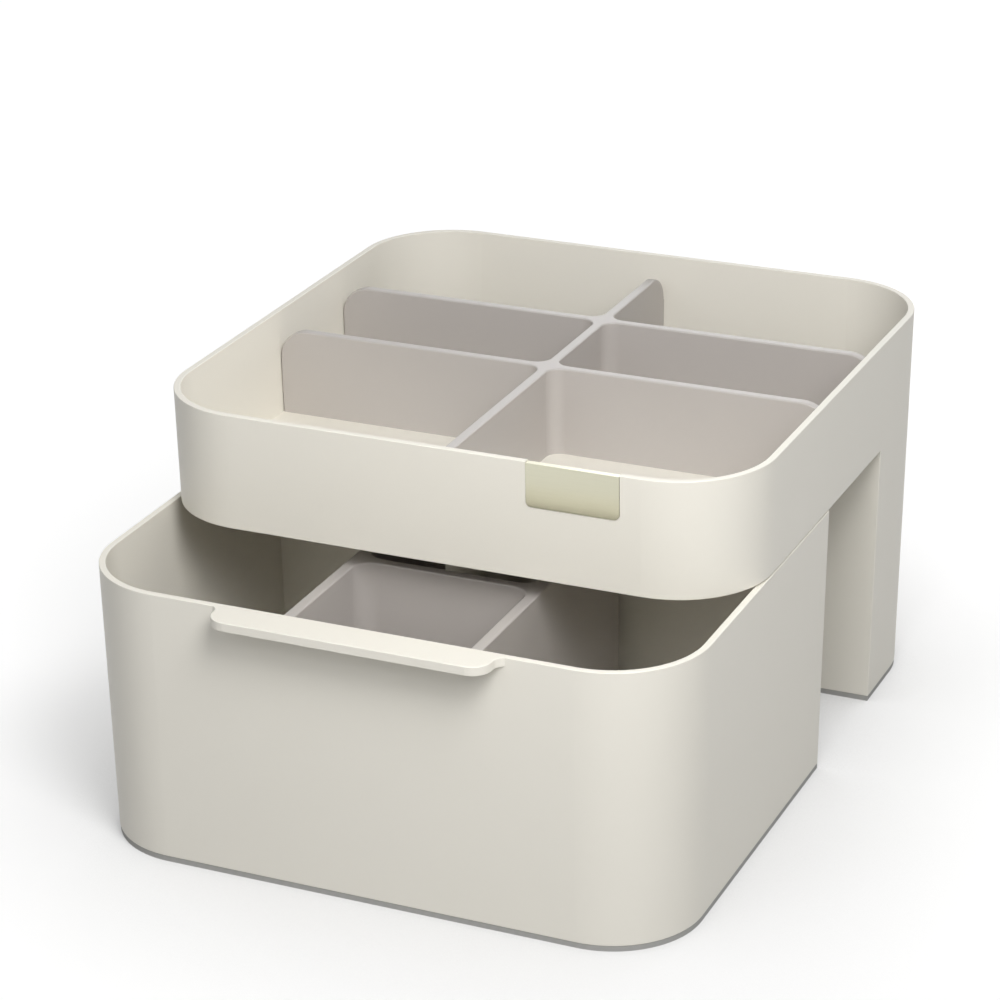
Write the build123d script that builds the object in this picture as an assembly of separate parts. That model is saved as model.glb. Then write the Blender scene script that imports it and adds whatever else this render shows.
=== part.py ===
"""Makeup organizer: a shallow tray joined to a deep rear box, with a drawer under the tray.

Millimetres. +Z is up and +Y runs to the rear. Every piece is drawn with the drawer shut and the
tray's front rim at Y = 0. At the end the drawer and its insert are drawn out by drawer_pull, and
the whole part is moved so that the origin lies on the table, at the middle of its outline.
"""
import math
import os

from build123d import *

# Driving dimensions

# Outer form, shared by the tray, the rear box and the drawer, measured at the tray's rim
width = 220.8
depth = 217.0
rim_height = 144.2
corner_radius = 34.5
draft = 1.0  # degrees by which every outer wall leans in towards the table
stand_off = 2.0  # height of the walls' feet above the table, the thickness of the grip mats

# Housing, one moulding: the tray in front and the deep box behind it
housing_wall = 2.4
tray_height = 42.3  # from the tray's underside to its rim
tray_floor = 3.0
box_depth = 63.0
box_floor = 3.0

# Drawer
drawer_wall = 2.4
drawer_floor = 3.0
drawer_top_gap = 0.5
drawer_rear_gap = 0.4
drawer_rear_radius = 0.8
drawer_pull = 58.2  # how far out the drawer stands

# Pull lip, a flat ledge along the front of the drawer's rim
lip_width = 100.0
lip_reach = 10.9
lip_thickness = 3.3
lip_corner_radius = 6.8
lip_flare_radius = 4.0
lip_root_sink = 0.3  # how far its flared root runs into the front wall

# Softened edges
rim_round = 0.3
lip_underside_round = 0.3
edge_round = 0.3  # other outer edges of the housing and the drawer
round_limit = 0.4  # largest share of a wall that the rounding of one of its edges takes

# Tray divider, a loose grid that stands on the tray's floor
tray_divider_wall = 3.6
tray_divider_drop = 6.5  # how far its top lies below the tray's rim
middle_bay_depth = 49.0  # between its two cross walls
tray_divider_fillet = 5.5
tongue_floor_gap = 1.0  # between the grid's tongue and the floor of the rear box

# Drawer divider, a loose H that stands on the drawer's floor
drawer_divider_wall = 4.1
drawer_divider_drop = 8.5  # how far its top lies below the drawer's rim
drawer_divider_spacing = 68.4  # between the middles of its two long walls
drawer_divider_rear_gap = 11.5
drawer_divider_fillet = 7.0

# Both dividers
divider_gap = 0.3  # clearance to the walls around them
divider_end_round = 11.0  # upper corners at the ends of their walls
divider_top_round = 0.6

# Name plate, bent over the tray's rim and bonded into a shallow pocket
plate_width = 33.2
plate_height = 15.6
plate_thickness = 0.8
plate_proud = 0.3  # how far it stands out of the tray's front face
plate_drop = 0.3  # how far its top lies below the rim
plate_corner_radius = 2.0
plate_fold_round = 0.6
plate_corner_gap = 7.4  # from the plate to where the tray's right front corner begins
plate_side_gap = 0.1
adhesive_thickness = 0.2
adhesive_inset = 0.8

# Grip mats, bonded under the rear box and under the drawer
mat_inset = 0.2  # from the feet of the walls

# Places worked out from the driving dimensions
slope = math.tan(math.radians(draft))
box_front = depth - box_depth
tray_underside = rim_height - tray_height
tray_floor_top = tray_underside + tray_floor
box_floor_top = stand_off + box_floor
drawer_rim = tray_underside - drawer_top_gap
drawer_rear = box_front - drawer_rear_gap
drawer_floor_top = stand_off + drawer_floor
tray_rim_round = min(rim_round, round_limit * housing_wall)
drawer_rim_round = min(rim_round, round_limit * drawer_wall)
above_rim = rim_height + tray_floor
beyond = width + depth
tiny = 0.001
slope_limit = math.sqrt(0.5)


def lean(height):
    """How far the outer walls have leaned in at a height, compared with the rim."""
    return (rim_height - height) * slope


def outline(height, inset=0.0):
    """Rounded plan of the outer form at a height, drawn in by an inset."""
    total = lean(height) + inset
    plan = RectangleRounded(width - 2 * total, depth - 2 * total, corner_radius - total)
    return Pos(0, depth / 2, height) * plan


def drafted_block(low, high, inset=0.0):
    """The outer form between two heights, drawn in by an inset."""
    return extrude(outline(high, inset), amount=low - high, taper=draft)


def slab(front, rear, low, high, across=2 * width):
    """Block between two depths and two heights, centred across the width."""
    return Pos(0, (front + rear) / 2, (low + high) / 2) * Box(across, rear - front, high - low)


def bar(front, rear, across, middle=0.0):
    """Plan of a straight wall between two depths."""
    return Pos(middle, (front + rear) / 2) * Rectangle(across, rear - front)


def top_edges(solid):
    """Edges of the uppermost flat face."""
    return solid.faces().sort_by(Axis.Z)[-1].edges()


def bottom_edges(solid):
    """Edges of the lowest flat face."""
    return solid.faces().sort_by(Axis.Z)[0].edges()


def upright_edges(solid, place):
    """Steep edges that lie on the plane Y = place."""
    on_plane = solid.edges().filter_by(lambda e: abs(e.center().Y - place) < tiny)
    return on_plane.filter_by(lambda e: abs(e.tangent_at(0.5).Z) > slope_limit)


# Name plate: its frame lies on the tray's drafted front face, with its origin on the rim
plate_middle = width / 2 - corner_radius - plate_corner_gap - plate_width / 2
plate_frame = Plane(
    origin=(plate_middle, 0, rim_height),
    x_dir=(1, 0, 0),
    z_dir=(0, -math.cos(math.radians(draft)), -math.sin(math.radians(draft))),
)
plate_back = plate_proud - plate_thickness
pocket_back = plate_back - adhesive_thickness


def plate_outline(grow, top):
    """Front face of the plate, grown on every side but the top, with rounded lower corners."""
    bottom = -plate_drop - plate_height - grow
    face = Pos(0, (top + bottom) / 2) * Rectangle(plate_width + 2 * grow, top - bottom)
    lower = face.vertices().group_by(Axis.Y)[0]
    return fillet(lower, plate_corner_radius + grow)


def plate_cut():
    """Pocket in the tray's front face, and the notch in the rim that the plate's bend lies in."""
    pocket = extrude(plate_frame * plate_outline(plate_side_gap, above_rim - rim_height), housing_wall)
    pocket = Pos(plate_frame.z_dir * pocket_back) * pocket
    notch_floor = -plate_drop - plate_thickness
    notch_height = above_rim - rim_height - notch_floor
    through_wall = 4 * housing_wall
    notch = Box(plate_width + 2 * plate_side_gap, notch_height, through_wall)
    return pocket + plate_frame * Pos(0, notch_floor + notch_height / 2, 0) * notch


def make_name_plate():
    """Bare sheet-metal plate with its top bent back over the rim."""
    front = extrude(plate_frame * plate_outline(0, -plate_drop), plate_thickness)
    front = Pos(plate_frame.z_dir * plate_back) * front
    bend_back = plate_side_gap - housing_wall
    bend = Box(plate_width, plate_thickness, plate_proud - bend_back)
    middle = Pos(0, -plate_drop - plate_thickness / 2, (plate_proud + bend_back) / 2)
    plate = front + plate_frame * middle * bend
    fold = plate.edges().filter_by(Axis.X).group_by(Axis.Z)[-1].sort_by(Axis.Y)[0]
    return fillet(fold, plate_fold_round)


def make_plate_adhesive():
    """Double-sided film that holds the plate in its pocket."""
    film_height = plate_height - plate_thickness - 2 * adhesive_inset
    film = Rectangle(plate_width - 2 * adhesive_inset, film_height)
    middle = -plate_drop - plate_thickness - adhesive_inset - film_height / 2
    film = extrude(plate_frame * Pos(0, middle) * film, adhesive_thickness)
    return Pos(plate_frame.z_dir * pocket_back) * film


def make_mat(front, rear):
    """Soft sheet between two depths that lifts the walls off the table and stops the piece from slipping."""
    plan = Pos(0, 0, -stand_off) * outline(stand_off, mat_inset)
    return extrude(plan & bar(front + mat_inset, rear - mat_inset, 2 * width), stand_off)


def make_housing():
    """Tray and rear box in one moulding: the tray stands out over the drawer."""
    tray = drafted_block(tray_underside, rim_height)
    tray = fillet(bottom_edges(tray), edge_round)
    box = drafted_block(stand_off, tray_floor_top) & slab(box_front, beyond, -beyond, beyond)
    box = fillet(upright_edges(box, box_front), edge_round)
    box = fillet(bottom_edges(box), edge_round)
    shell = tray + box - drafted_block(tray_floor_top, above_rim, housing_wall)
    well = drafted_block(box_floor_top, above_rim, housing_wall)
    shell -= well & slab(box_front + housing_wall, beyond, -beyond, beyond)
    shell = fillet(top_edges(shell), tray_rim_round)
    return shell - plate_cut()


def lipped_rim():
    """Top slice of the drawer's form with the pull lip, flared where it runs out of the front wall."""
    root = lean(drawer_rim) + lip_root_sink
    tip = lean(drawer_rim) - lip_reach
    in_wall = root + drawer_wall / 2
    lip = bar(tip, in_wall, lip_width) + bar(root, in_wall, lip_width + 4 * lip_flare_radius)
    lip = fillet(lip.vertices().group_by(Axis.Y)[0], min(lip_corner_radius, lip_reach - lip_flare_radius))
    at_root = lip.vertices().filter_by(lambda v: abs(v.Y - root) < tiny)
    lip = fillet(at_root.filter_by(lambda v: abs(abs(v.X) - lip_width / 2) < tiny), lip_flare_radius)
    plan = lip + Pos(0, 0, -drawer_rim) * outline(drawer_rim)
    return extrude(Pos(0, 0, drawer_rim) * plan, amount=-lip_thickness, taper=draft)


def make_drawer():
    """Open drawer, flush with the tray above it, with square rear corners and a pull lip in front."""
    lip_underside = drawer_rim - lip_thickness
    body = drafted_block(stand_off, lip_underside) + lipped_rim()
    body &= slab(-beyond, drawer_rear, -beyond, beyond)
    body = fillet(upright_edges(body, drawer_rear), drawer_rear_radius)
    body = fillet(bottom_edges(body), edge_round)
    inside = drafted_block(drawer_floor_top, above_rim, drawer_wall)
    body -= inside & slab(-beyond, drawer_rear - drawer_wall, -beyond, beyond)
    body = fillet(top_edges(body), drawer_rim_round)
    lip_edges = body.edges().filter_by(lambda e: abs(e.center().Z - lip_underside) < tiny)
    return fillet(lip_edges.filter_by(lambda e: e.center().Y < lean(lip_underside) - tiny), lip_underside_round)


def top_end_edges(divider, wall):
    """Straight edges across the upper ends of a divider's walls, as long as the walls are thick."""
    return top_edges(divider).filter_by(GeomType.LINE).filter_by(lambda e: abs(e.length - wall) < tiny)


def make_tray_divider():
    """Grid of one long wall and two cross walls, with a tongue down into the rear box."""
    top = rim_height - tray_divider_drop
    half = tray_divider_wall / 2
    rear_cross = box_front + housing_wall / 2
    front_cross = rear_cross - tray_divider_wall - middle_bay_depth
    plan = bar(-beyond, beyond, tray_divider_wall)
    for middle in (front_cross, rear_cross):
        plan += bar(middle - half, middle + half, beyond)
    corners = [v for v in plan.vertices() if abs(abs(v.X) - half) < tiny and abs(v.Y) < depth]
    plan = fillet(corners, tray_divider_fillet)
    grid = extrude(Pos(0, 0, tray_floor_top) * plan, top - tray_floor_top)
    grid &= drafted_block(tray_floor_top, top, housing_wall + divider_gap)
    grid = fillet(top_end_edges(grid, tray_divider_wall), divider_end_round)
    grid = fillet(top_edges(grid), divider_top_round)
    tongue_front = box_front + housing_wall + divider_gap
    tongue_foot = box_floor_top + tongue_floor_gap
    tongue = slab(tongue_front, beyond, tongue_foot, top - divider_end_round, tray_divider_wall)
    return grid + (tongue & drafted_block(box_floor_top, above_rim, housing_wall + divider_gap))


def make_drawer_divider():
    """H of two long walls and one cross wall, short of the drawer's rear wall."""
    top = drawer_rim - drawer_divider_drop
    half = drawer_divider_wall / 2
    front = lean(top) + drawer_wall + divider_gap
    rear = drawer_rear - drawer_wall - drawer_divider_rear_gap
    cross = (front + rear) / 2
    inner = drawer_divider_spacing / 2 - half
    plan = bar(cross - half, cross + half, drawer_divider_spacing)
    for side in (-1, 1):
        plan += bar(-beyond, rear, drawer_divider_wall, side * drawer_divider_spacing / 2)
    corners = [v for v in plan.vertices() if abs(abs(v.X) - inner) < tiny and abs(v.Y - cross) < 2 * half]
    plan = fillet(corners, drawer_divider_fillet)
    frame = extrude(Pos(0, 0, drawer_floor_top) * plan, top - drawer_floor_top)
    frame &= drafted_block(drawer_floor_top, top, drawer_wall + divider_gap)
    frame = fillet(top_end_edges(frame, drawer_divider_wall), divider_end_round)
    return fillet(top_edges(frame), divider_top_round)


# Pieces of the housing and of the drawer, each in the place where it is drawn
housing_pieces = {
    "housing": make_housing(),
    "tray_divider": make_tray_divider(),
    "name_plate": make_name_plate(),
    "plate_adhesive": make_plate_adhesive(),
    "housing_base_mat": make_mat(box_front, depth + beyond),
}
drawer_pieces = {
    "drawer": make_drawer(),
    "drawer_divider": make_drawer_divider(),
    "drawer_base_mat": make_mat(-beyond, drawer_rear),
}

# The drawer stands drawn out, and the origin lies under the middle of the whole outline
front_most = lean(drawer_rim) - lip_reach - drawer_pull
to_middle = Pos(0, -(depth + front_most) / 2, 0)
drawn_out = Pos(0, -drawer_pull, 0)

os.makedirs("parts", exist_ok=True)
for name, solid in housing_pieces.items():
    export_step(to_middle * solid, f"parts/{name}.step")
for name, solid in drawer_pieces.items():
    export_step(to_middle * drawn_out * solid, f"parts/{name}.step")
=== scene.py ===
import math

import bpy
import numpy as np
from mathutils import Matrix, Vector

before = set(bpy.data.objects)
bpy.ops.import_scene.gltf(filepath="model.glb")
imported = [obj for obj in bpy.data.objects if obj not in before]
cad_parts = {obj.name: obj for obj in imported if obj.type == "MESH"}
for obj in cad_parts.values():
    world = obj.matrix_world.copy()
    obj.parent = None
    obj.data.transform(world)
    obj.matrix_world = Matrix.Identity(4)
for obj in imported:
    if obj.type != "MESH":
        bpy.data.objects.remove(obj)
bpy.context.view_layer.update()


# Housing: the open tray and the deep box behind it, one injection moulding in cream plastic.
# The mould is spark-eroded, so the skin has a fine satin grain and the cream drifts a little with the flow.
# The solid already has its draft, rounded corners and rims, so here it only gets its finish.
mm = 0.001
cream = (0.865, 0.835, 0.755, 1.0)
cream_deep = (0.850, 0.820, 0.738, 1.0)
cream_roughness = (0.42, 0.50)
cream_grain_size = 0.35 * mm
cream_grain_depth = 0.006 * mm
cream_gloss = 0.4
drift_size = 36 * mm
drift_detail = 3.0
grain_detail = 2.0
grain_span = (0.3, 0.7)


def fill_inputs(tree, node, inputs):
    """Sets a node's inputs, given as socket and source, and links those whose source is a socket."""
    for socket, source in inputs:
        if isinstance(source, bpy.types.NodeSocket):
            tree.links.new(source, node.inputs[socket])
        else:
            node.inputs[socket].default_value = source


def add_node(tree, kind, inputs=(), **settings):
    """Adds a node, sets its properties, and fills its inputs."""
    node = tree.nodes.new(kind)
    for name, value in settings.items():
        setattr(node, name, value)
    fill_inputs(tree, node, inputs)
    return node


def add_colour_mix(tree, share, low, high):
    """Adds a colour mix, low where share is 0 and high where it is 1, and gives its result."""
    # A mix node has sockets for each kind of data, so the ones for colours are picked by number.
    share_socket, low_socket, high_socket, result_socket = 0, 6, 7, 2
    inputs = [(share_socket, share), (low_socket, low), (high_socket, high)]
    return add_node(tree, "ShaderNodeMix", inputs, data_type="RGBA").outputs[result_socket]


def add_group(name, sockets):
    """Starts a shader node group with sockets given as name, side and kind, and gives its input sockets."""
    group = bpy.data.node_groups.new(name, "ShaderNodeTree")
    for socket, side, kind in sockets:
        group.interface.new_socket(name=socket, in_out=side, socket_type="NodeSocket" + kind)
    return group, add_node(group, "NodeGroupInput").outputs


def make_moulded_grain():
    """Group for a moulded skin: fine noise gives height and roughness, slow noise drifts the colour."""
    group, given = add_group(
        "moulded_grain",
        (
            ("Colour", "INPUT", "Color"),
            ("Deep Colour", "INPUT", "Color"),
            ("Grains per Metre", "INPUT", "Float"),
            ("Least Roughness", "INPUT", "Float"),
            ("Most Roughness", "INPUT", "Float"),
            ("Colour", "OUTPUT", "Color"),
            ("Roughness", "OUTPUT", "Float"),
            ("Height", "OUTPUT", "Float"),
        ),
    )
    place = add_node(group, "ShaderNodeTexCoord").outputs["Object"]
    drift = add_node(
        group,
        "ShaderNodeTexNoise",
        [("Vector", place), ("Scale", 1 / drift_size), ("Detail", drift_detail)],
    ).outputs["Fac"]
    grain = add_node(
        group,
        "ShaderNodeTexNoise",
        [("Vector", place), ("Scale", given["Grains per Metre"]), ("Detail", grain_detail)],
    ).outputs["Fac"]
    roughness = add_node(
        group,
        "ShaderNodeMapRange",
        [
            ("Value", grain),
            ("From Min", grain_span[0]),
            ("From Max", grain_span[1]),
            ("To Min", given["Least Roughness"]),
            ("To Max", given["Most Roughness"]),
        ],
    ).outputs["Result"]
    colour = add_colour_mix(group, drift, given["Deep Colour"], given["Colour"])
    add_node(
        group, "NodeGroupOutput", [("Colour", colour), ("Roughness", roughness), ("Height", grain)]
    )
    return group


moulded_grain = make_moulded_grain()


def start_material(name):
    """Starts a node material and gives it with its tree and its surface shader."""
    material = bpy.data.materials.new(name)
    material.use_nodes = True
    return material, material.node_tree, material.node_tree.nodes["Principled BSDF"]


def grained_material(name, colours, roughness, grain_size, grain_depth, gloss):
    """A moulded skin: the grain group drives colour, roughness and a fine bump."""
    material, tree, surface = start_material(name)
    skin = add_node(
        tree,
        "ShaderNodeGroup",
        [
            ("Colour", colours[0]),
            ("Deep Colour", colours[1]),
            ("Grains per Metre", 1 / grain_size),
            ("Least Roughness", roughness[0]),
            ("Most Roughness", roughness[1]),
        ],
        node_tree=moulded_grain,
    ).outputs
    bump = add_node(tree, "ShaderNodeBump", [("Height", skin["Height"]), ("Distance", grain_depth)])
    fill_inputs(
        tree,
        surface,
        [
            ("Base Color", skin["Colour"]),
            ("Roughness", skin["Roughness"]),
            ("Normal", bump.outputs["Normal"]),
            ("Specular IOR Level", gloss),
        ],
    )
    return material


def finish_node(name, material):
    """Gives a solid of the frame its finish."""
    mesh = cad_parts[name].data
    mesh.materials.clear()
    mesh.materials.append(material)


cream_plastic = grained_material(
    "cream_plastic", (cream, cream_deep), cream_roughness, cream_grain_size, cream_grain_depth, cream_gloss
)
finish_node("housing", cream_plastic)


# Housing grip mat: a soft grey foam-rubber sheet, die-cut and bonded under the floor of the rear box.
# Its open skin is coarser and duller than the moulded plastic, and its cut edge shows as a thin base band.
grip_grey = (0.44, 0.435, 0.42, 1.0)
grip_grey_deep = (0.38, 0.375, 0.36, 1.0)
grip_roughness = (0.72, 0.90)
grip_grain_size = 0.9 * mm
grip_grain_depth = 0.08 * mm
grip_gloss = 0.25
grip_sheet = grained_material(
    "grip_sheet", (grip_grey, grip_grey_deep), grip_roughness, grip_grain_size, grip_grain_depth, grip_gloss
)
finish_node("housing_base_mat", grip_sheet)


# Plate adhesive: a thin double-sided film, die-cut to the name plate and laid into its pocket.
# It is clear with a pale haze of tiny bubbles, and is hidden once the plate is pressed home.
film_haze = (0.74, 0.74, 0.71, 1.0)
film_clear = (0.64, 0.64, 0.60, 1.0)
film_roughness = (0.18, 0.45)
film_bubble_size = 0.6 * mm
film_bubble_depth = 0.01 * mm
film_gloss = 0.5
adhesive_film = grained_material(
    "adhesive_film", (film_haze, film_clear), film_roughness, film_bubble_size, film_bubble_depth, film_gloss
)
finish_node("plate_adhesive", adhesive_film)


# Name plate: thin champagne sheet metal, bent over the tray's front rim and pressed on to its film.
# The sheet was rolled and lightly brushed along its length, then lacquered, so its lines are fine and long.
champagne = (0.66, 0.645, 0.515, 1.0)
champagne_deep = (0.60, 0.585, 0.460, 1.0)
plate_roughness = (0.10, 0.20)
brush_line_width = 0.25 * mm
brush_line_length = 16 * mm
brush_line_depth = 0.001 * mm
brush_line_detail = 2.0
brush_lines = (1 / brush_line_length, 1 / brush_line_width, 1 / brush_line_width)
plate_metal, plate_tree, plate_surface = start_material("plate_metal")
plate_place = add_node(plate_tree, "ShaderNodeTexCoord").outputs["Object"]
brushed_place = add_node(
    plate_tree, "ShaderNodeMapping", [("Vector", plate_place), ("Scale", brush_lines)]
).outputs["Vector"]
brushing = add_node(
    plate_tree,
    "ShaderNodeTexNoise",
    [("Vector", brushed_place), ("Scale", 1.0), ("Detail", brush_line_detail)],
).outputs["Fac"]
plate_sheen = add_node(
    plate_tree,
    "ShaderNodeMapRange",
    [("Value", brushing), ("To Min", plate_roughness[0]), ("To Max", plate_roughness[1])],
).outputs["Result"]
plate_bump = add_node(
    plate_tree, "ShaderNodeBump", [("Height", brushing), ("Distance", brush_line_depth)]
).outputs["Normal"]
fill_inputs(
    plate_tree,
    plate_surface,
    [
        ("Base Color", add_colour_mix(plate_tree, brushing, champagne_deep, champagne)),
        ("Roughness", plate_sheen),
        ("Normal", plate_bump),
        ("Metallic", 1.0),
    ],
)
finish_node("name_plate", plate_metal)


# Tray divider: a loose grid, one moulding in warm taupe plastic, that stands on the tray's floor.
# Its mould is polished a little further than the housing's, so its grain is finer and its top edges
# carry a soft sheen.
taupe = (0.495, 0.464, 0.441, 1.0)
taupe_deep = (0.480, 0.449, 0.426, 1.0)
taupe_roughness = (0.30, 0.38)
taupe_grain_size = 0.30 * mm
taupe_grain_depth = 0.005 * mm
taupe_gloss = 0.7
taupe_plastic = grained_material(
    "taupe_plastic", (taupe, taupe_deep), taupe_roughness, taupe_grain_size, taupe_grain_depth, taupe_gloss
)
finish_node("tray_divider", taupe_plastic)


# Drawer: an open box in the housing's cream plastic that slides under the tray.
# A flat pull lip stands out along its front rim, and all of it is one moulding.
finish_node("drawer", cream_plastic)


# Drawer grip mat: a larger sheet of the same foam rubber, bonded under the drawer's floor.
# Its cut edge is the grey base band along the drawer's front and side.
finish_node("drawer_base_mat", grip_sheet)


# Drawer divider: a loose H in the tray divider's taupe plastic that stands on the drawer's floor.
# It lifts out by hand once the drawer is pulled clear of the tray.
finish_node("drawer_divider", taupe_plastic)


# Floor: a plain pale table that keeps the object's shadow, with a glow of its own that stands in for a white
# room's light.
# The glow makes up for the lamps' fall-off, so that the table is white away from the object.
# Ambient occlusion darkens the glow near the object, which is painted shade round its foot, and the table
# throws back only a part of its light.
white = (1.0, 1.0, 1.0, 1.0)
floor_half = 4.0
floor_seen = (0.6, 0.6, 0.6, 1.0)
floor_bounce = (0.35, 0.35, 0.35, 1.0)
floor_roughness = 0.9
floor_gloss = 0.0
glow_far = 0.700
glow_dip = 0.365
glow_centre = (0.158, -0.243, 0.0)
glow_spread = 0.365
glow_power = -1.5
painted_shade_reach = 0.10
painted_shade_samples = 4
corners = np.array([(-1, -1, 0), (1, -1, 0), (1, 1, 0), (-1, 1, 0)], float) * floor_half
floor_mesh = bpy.data.meshes.new("floor")
floor_mesh.from_pydata(corners.tolist(), [], [(0, 1, 2, 3)])
floor = bpy.data.objects.new("floor", floor_mesh)
bpy.context.scene.collection.objects.link(floor)
floor_finish, floor_tree, floor_surface = start_material("floor_finish")


def add_math(tree, operation, *values):
    """Adds a Math node on numbers or sockets and gives its result."""
    return add_node(tree, "ShaderNodeMath", enumerate(values), operation=operation).outputs[0]


def seen_directly(tree):
    """1 where a camera, glossy or transmission ray arrives, and 0 for light that bounces."""
    path = add_node(tree, "ShaderNodeLightPath").outputs
    seen_or_mirrored = add_math(tree, "MAXIMUM", path["Is Camera Ray"], path["Is Glossy Ray"])
    return add_math(tree, "MAXIMUM", seen_or_mirrored, path["Is Transmission Ray"])


# The glow is glow_far - glow_dip * (1 + (distance / glow_spread) ** 2) ** glow_power, which is a lamp's
# fall-off reversed, times an ambient-occlusion factor that paints shade on the table near the object.
floor_direct = seen_directly(floor_tree)
floor_place = add_node(floor_tree, "ShaderNodeTexCoord").outputs["Object"]
distance = add_node(
    floor_tree, "ShaderNodeVectorMath", [(0, floor_place), (1, glow_centre)], operation="DISTANCE"
).outputs["Value"]
reach = add_math(floor_tree, "DIVIDE", distance, glow_spread)
widening = add_math(floor_tree, "MULTIPLY_ADD", reach, reach, 1.0)
fall_off = add_math(floor_tree, "POWER", widening, glow_power)
glow = add_math(floor_tree, "MULTIPLY_ADD", fall_off, -glow_dip, glow_far)
# Ambient occlusion near the object darkens the glow: painted shade on the table round the object's foot.
painted_shade = add_node(
    floor_tree, "ShaderNodeAmbientOcclusion", [("Distance", painted_shade_reach)], samples=painted_shade_samples
).outputs["AO"]
glow_with_painted_shade = add_math(floor_tree, "MULTIPLY", glow, painted_shade)
fill_inputs(
    floor_tree,
    floor_surface,
    [
        ("Base Color", add_colour_mix(floor_tree, floor_direct, floor_bounce, floor_seen)),
        ("Emission Color", white),
        ("Emission Strength", add_math(floor_tree, "MULTIPLY", floor_direct, glow_with_painted_shade)),
        ("Roughness", floor_roughness),
        ("Specular IOR Level", floor_gloss),
    ],
)
floor_mesh.materials.append(floor_finish)


# World: an even white studio all round the object.
# It lights the object at a low level, and is seen as plain white.
studio_level = 0.32
studio_seen = 1.0
world = bpy.data.worlds.new("studio")
bpy.context.scene.world = world
world.use_nodes = True
world_tree = world.node_tree
studio_strength = add_node(
    world_tree,
    "ShaderNodeMapRange",
    [("Value", seen_directly(world_tree)), ("To Min", studio_level), ("To Max", studio_seen)],
).outputs["Result"]
fill_inputs(world_tree, world_tree.nodes["Background"], [("Color", white), ("Strength", studio_strength)])


# Lamps: a key lamp close by on the right, a softbox on either side of the camera and two low ones behind.
# All of them are round and aim at the middle of the object.
lamp_target = Vector((0.0, -0.03, 0.08))
softbox_diameter = 0.8
lamps = {
    "key_lamp": {"place": Vector((0.181, -0.310, 0.440)), "diameter": 0.20, "watts": 1.0},
    "right_softbox": {"place": Vector((0.8, -0.9, 1.1)), "diameter": softbox_diameter, "watts": 8.2},
    "left_softbox": {"place": Vector((-0.45, -1.3, 0.8)), "diameter": softbox_diameter, "watts": 2.2},
    "rear_left_softbox": {"place": Vector((-0.25, 1.35, 0.5)), "diameter": softbox_diameter, "watts": 2.2},
    "rear_right_softbox": {"place": Vector((0.45, 1.4, 0.5)), "diameter": softbox_diameter, "watts": 3.0},
}
for lamp_name, lamp_facts in lamps.items():
    light = bpy.data.lights.new(lamp_name, "AREA")
    light.shape = "DISK"
    light.size = lamp_facts["diameter"]
    light.energy = lamp_facts["watts"]
    lamp = bpy.data.objects.new(lamp_name, light)
    lamp.location = lamp_facts["place"]
    lamp.rotation_euler = (lamp_target - lamp_facts["place"]).to_track_quat("-Z", "Y").to_euler()
    bpy.context.scene.collection.objects.link(lamp)


# Camera: a long lens above the object and to the right of its front.
# It looks down and to the left, with a slight roll.
camera_place = Vector((0.4339416, -0.9919289, 0.5500590))
camera_yaw = math.radians(23.9672)
camera_pitch = math.radians(-22.7456)
camera_roll = math.radians(-0.7177)
camera_lens = 118.3725
camera_sensor = 36.0
camera_data = bpy.data.cameras.new("camera")
camera_data.lens = camera_lens
camera_data.sensor_width = camera_sensor
camera = bpy.data.objects.new("camera", camera_data)
turn = Matrix.Rotation(camera_yaw, 4, "Z") @ Matrix.Rotation(math.pi / 2 + camera_pitch, 4, "X")
camera.matrix_world = Matrix.Translation(camera_place) @ turn @ Matrix.Rotation(camera_roll, 4, "Z")
bpy.context.scene.collection.objects.link(camera)
bpy.context.scene.camera = camera
bpy.context.scene.view_settings.view_transform = "Standard"
